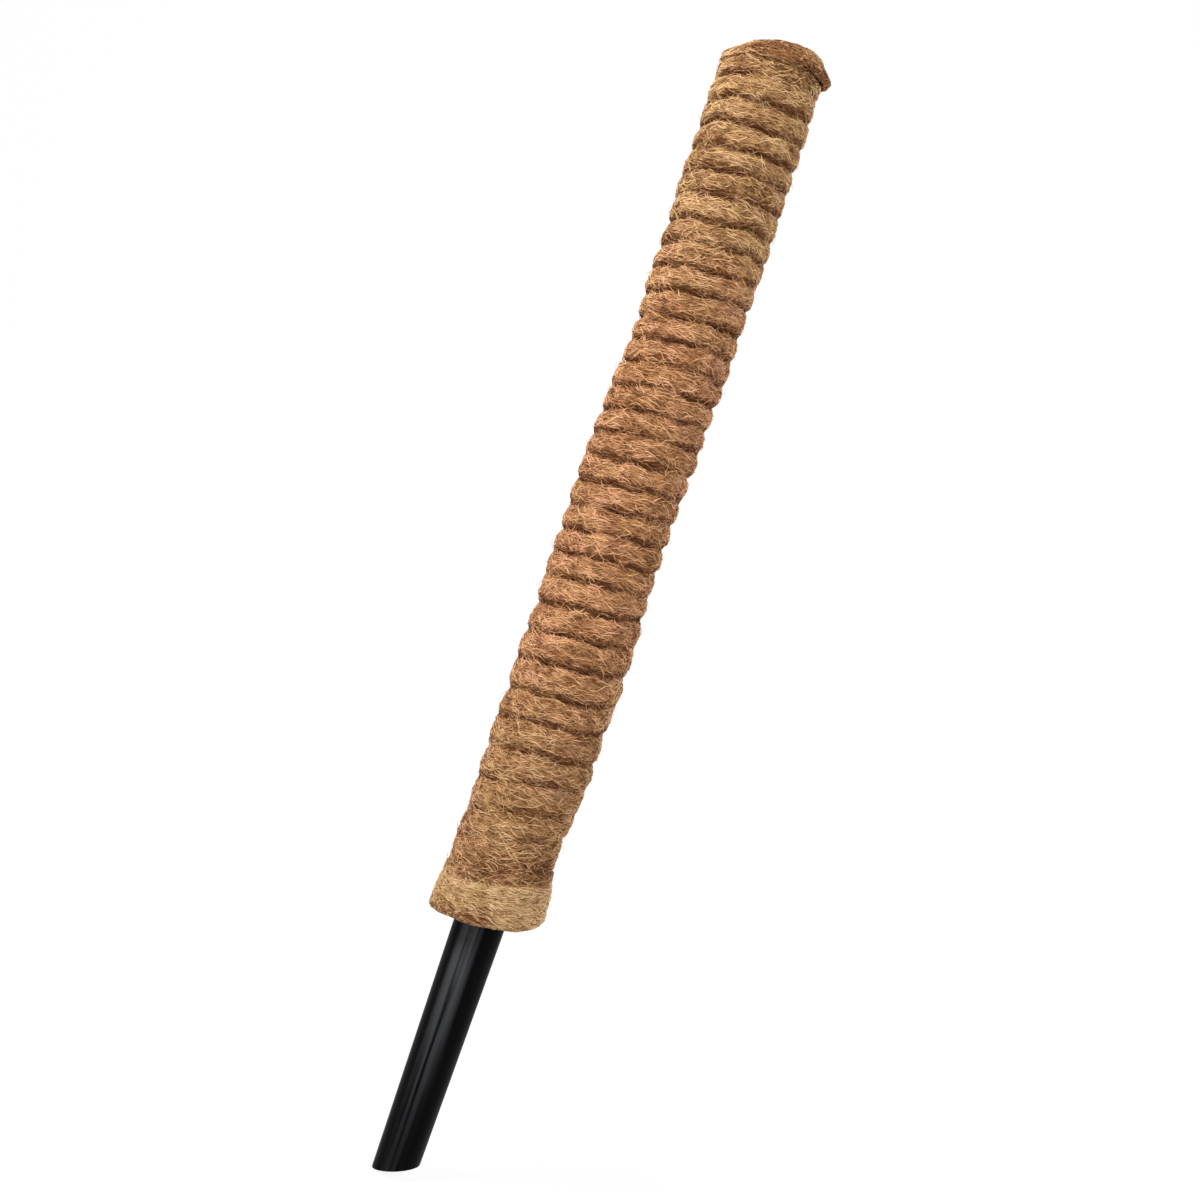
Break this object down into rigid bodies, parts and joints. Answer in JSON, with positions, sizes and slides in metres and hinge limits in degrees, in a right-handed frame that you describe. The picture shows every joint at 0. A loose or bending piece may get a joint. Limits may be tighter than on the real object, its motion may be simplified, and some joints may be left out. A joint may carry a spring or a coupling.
{
  "type": "moss pole",
  "caption": "Plant support pole: a black plastic stake pipe wrapped in coir matting, drawn into spiral ribs by a wound line, with a coir cap on top and a folded coir hem at the soil line.",
  "frame": {"origin": "on the pipe's axis at the soil line, in the middle of the hem's slanted underside", "axes": "+Z along the pole, from the stake's tip to the cap; +X towards the side where the hem is higher and the cap's lip hangs over; -Y is the side that the picture shows"},
  "size_m": [0.0383, 0.0374, 0.4001],
  "materials": {
    "black_plastic": "extruded black plastic pipe, satin, with faint lengthwise streaks and scuffs",
    "coir": "matted coconut fibre, dry and fuzzy, tan to reddish brown",
    "coir_trim": "coconut fibre pressed into a thinner sheet, yellow tan, smoother than the sleeve",
    "line": "thin brown polymer line, satin"
  },
  "bodies": {
    "root": {"core_pipe": "black_plastic", "inner_coir_mat": "coir", "coir_sleeve": "coir", "bottom_hem": "coir_trim", "top_cap": "coir_trim", "binding_line": "line", "lower_line_knot": "line", "upper_line_knot": "line"}
  },
  "joints": []
}
